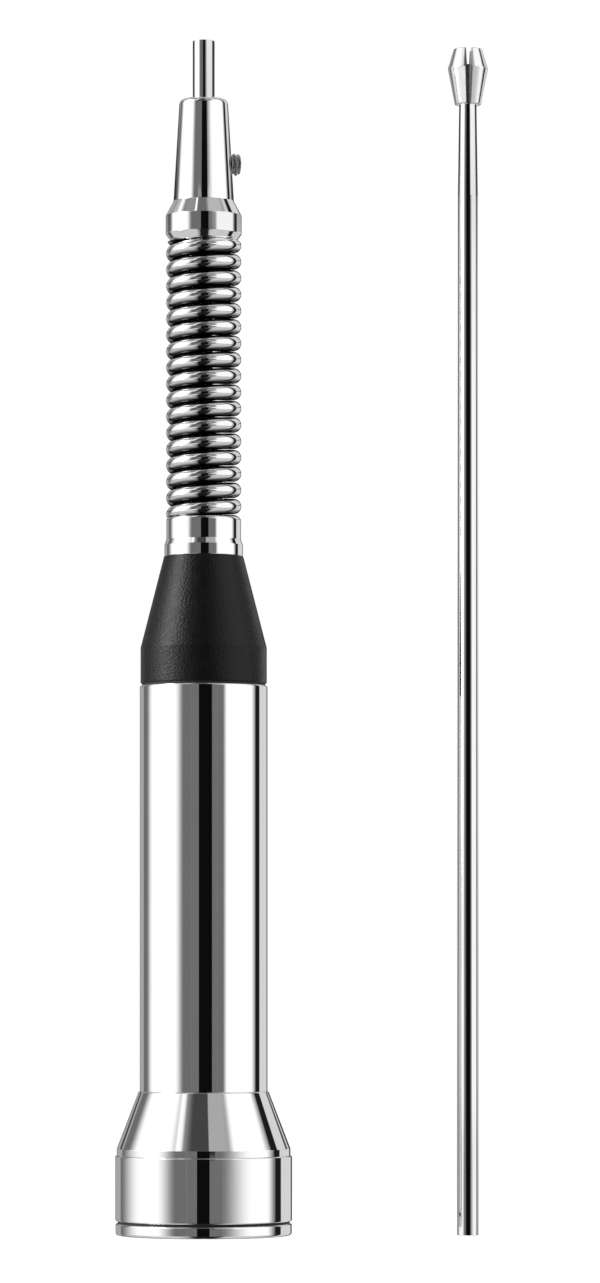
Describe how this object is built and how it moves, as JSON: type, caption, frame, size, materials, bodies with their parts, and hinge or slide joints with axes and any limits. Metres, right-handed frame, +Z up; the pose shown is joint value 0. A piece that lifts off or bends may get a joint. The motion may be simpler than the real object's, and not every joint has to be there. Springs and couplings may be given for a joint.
{
  "type": "whip antenna",
  "caption": "Base-loaded whip antenna: chrome threaded base and tube, black cone, flex spring, whip holder with a side screw, and the upper whip with its split tip standing beside it.",
  "frame": {"origin": "centre of the coupling thread's mouth, on the floor plane under the antenna's base", "axes": "+Z up along the antenna's axis, +X towards the whip that stands beside the base, with the side screw 13 degrees behind it, -Y towards the viewer in the picture"},
  "size_m": [0.0819, 0.0388, 0.2628],
  "materials": {
    "chrome": "mirror polished plating",
    "spring_chrome": "polished plating over spring wire",
    "whip_steel": "polished rod",
    "black_plastic": "fine pebble grain",
    "black_screw": "black oxide",
    "rubber": "matte",
    "brass": "turned",
    "copper": "bare copper wire",
    "white_insulator": "turned PTFE",
    "braid": "tinned braid"
  },
  "bodies": {
    "base": {"base_cone": "chrome", "flanged_bush": "brass", "contact_insulator": "white_insulator", "centre_contact": "brass", "lower_tube_seal": "rubber", "coil_former": "white_insulator", "loading_coil": "copper", "tap_lead": "copper", "housing_tube": "chrome", "upper_seal": "rubber", "insulator_cone": "black_plastic", "top_stud": "brass", "spring_seat": "chrome", "whip_upper": "whip_steel", "whip_tip": "chrome"},
    "coupling": {"coupling_collar": "chrome", "foot_ring": "chrome", "groove_washer": "rubber", "base_gasket": "rubber"},
    "spring": {"spring": "spring_chrome", "spring_braid": "braid"},
    "holder": {"whip_holder": "chrome"},
    "side_screw": {"set_screw": "black_screw"},
    "whip": {"whip_lower": "whip_steel"}
  },
  "joints": [
    {"name": "collar_turn", "type": "hinge", "parent": "base", "child": "coupling", "pos_m": [0, 0, 0.0175], "axis": [0, 0, 1], "continuous": true},
    {"name": "spring_lean_fore_aft", "type": "hinge", "parent": "base", "child": "spring", "pos_m": [0, 0, 0.17715], "axis": [1, 0, 0], "range_deg": [-40, 40], "stiffness_Nm_per_rad": 2, "deforming": ["spring", "spring_braid"]},
    {"name": "spring_lean_sideways", "type": "hinge", "parent": "spring", "child": "holder", "pos_m": [0, 0, 0.19945], "axis": [0, 1, 0], "range_deg": [-40, 40], "stiffness_Nm_per_rad": 2},
    {"name": "side_screw_travel", "type": "slide", "parent": "holder", "child": "side_screw", "axis": [0.9744, 0.225, 0], "range_m": [-0.0003, 0.003]},
    {"name": "whip_tuning", "type": "slide", "parent": "holder", "child": "whip", "axis": [0, 0, 1], "range_m": [-0.006, 0.004]}
  ]
}
